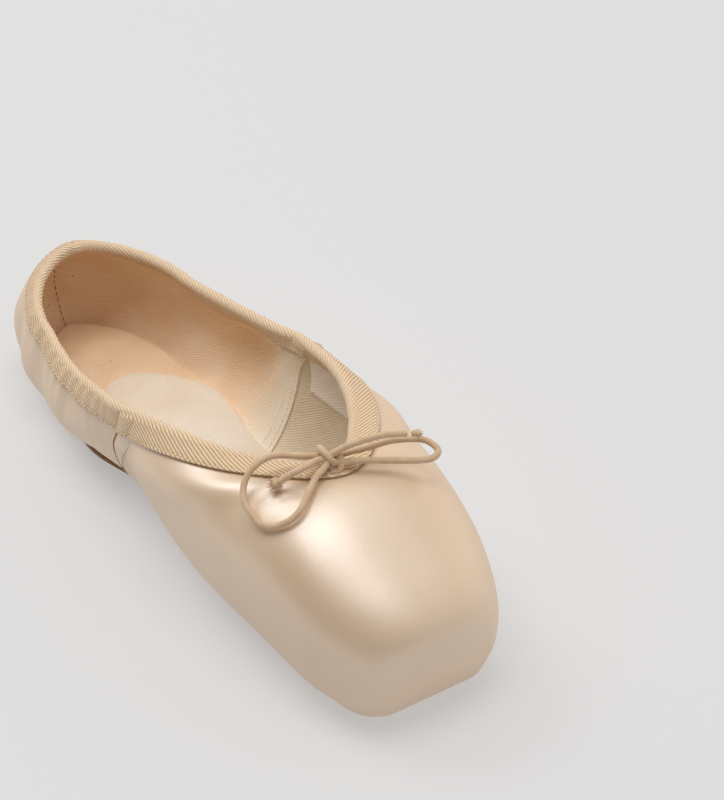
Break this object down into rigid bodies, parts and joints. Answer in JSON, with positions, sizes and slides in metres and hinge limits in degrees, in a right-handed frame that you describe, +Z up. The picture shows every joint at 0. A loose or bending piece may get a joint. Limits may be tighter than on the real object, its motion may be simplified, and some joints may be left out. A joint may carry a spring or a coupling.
{
  "type": "pointe shoe",
  "caption": "Empty satin pointe shoe with a flat toe platform, leather sole, insole and sock, taped collar and a small drawstring bow at the throat.",
  "frame": {"origin": "on the floor under the middle of the shoe's length and width", "axes": "+Z up, -Y towards the toe, +Y towards the heel, +X to the wearer's left as the toe points away"},
  "size_m": [0.077, 0.2349, 0.068],
  "materials": {
    "satin": "warm cream satin with a soft sheen, cotton lined",
    "sole_leather": "matt brown split leather with a skived edge",
    "insole_cotton": "tan drill cotton",
    "sock_cotton": "pale woven cotton",
    "binding_twill": "cream twill tape with diagonal ribs, folded and stitched",
    "bow_elastic": "cream braided elastic cord"
  },
  "bodies": {
    "root": {"upper": "satin", "outsole": "sole_leather", "insole": "insole_cotton", "sock": "sock_cotton", "binding": "binding_twill", "bow_knot": "bow_elastic", "loop_left": "bow_elastic", "loop_right": "bow_elastic", "tail_left": "bow_elastic", "tail_right": "bow_elastic", "tip_left": "bow_elastic", "tip_right": "bow_elastic"}
  },
  "joints": []
}
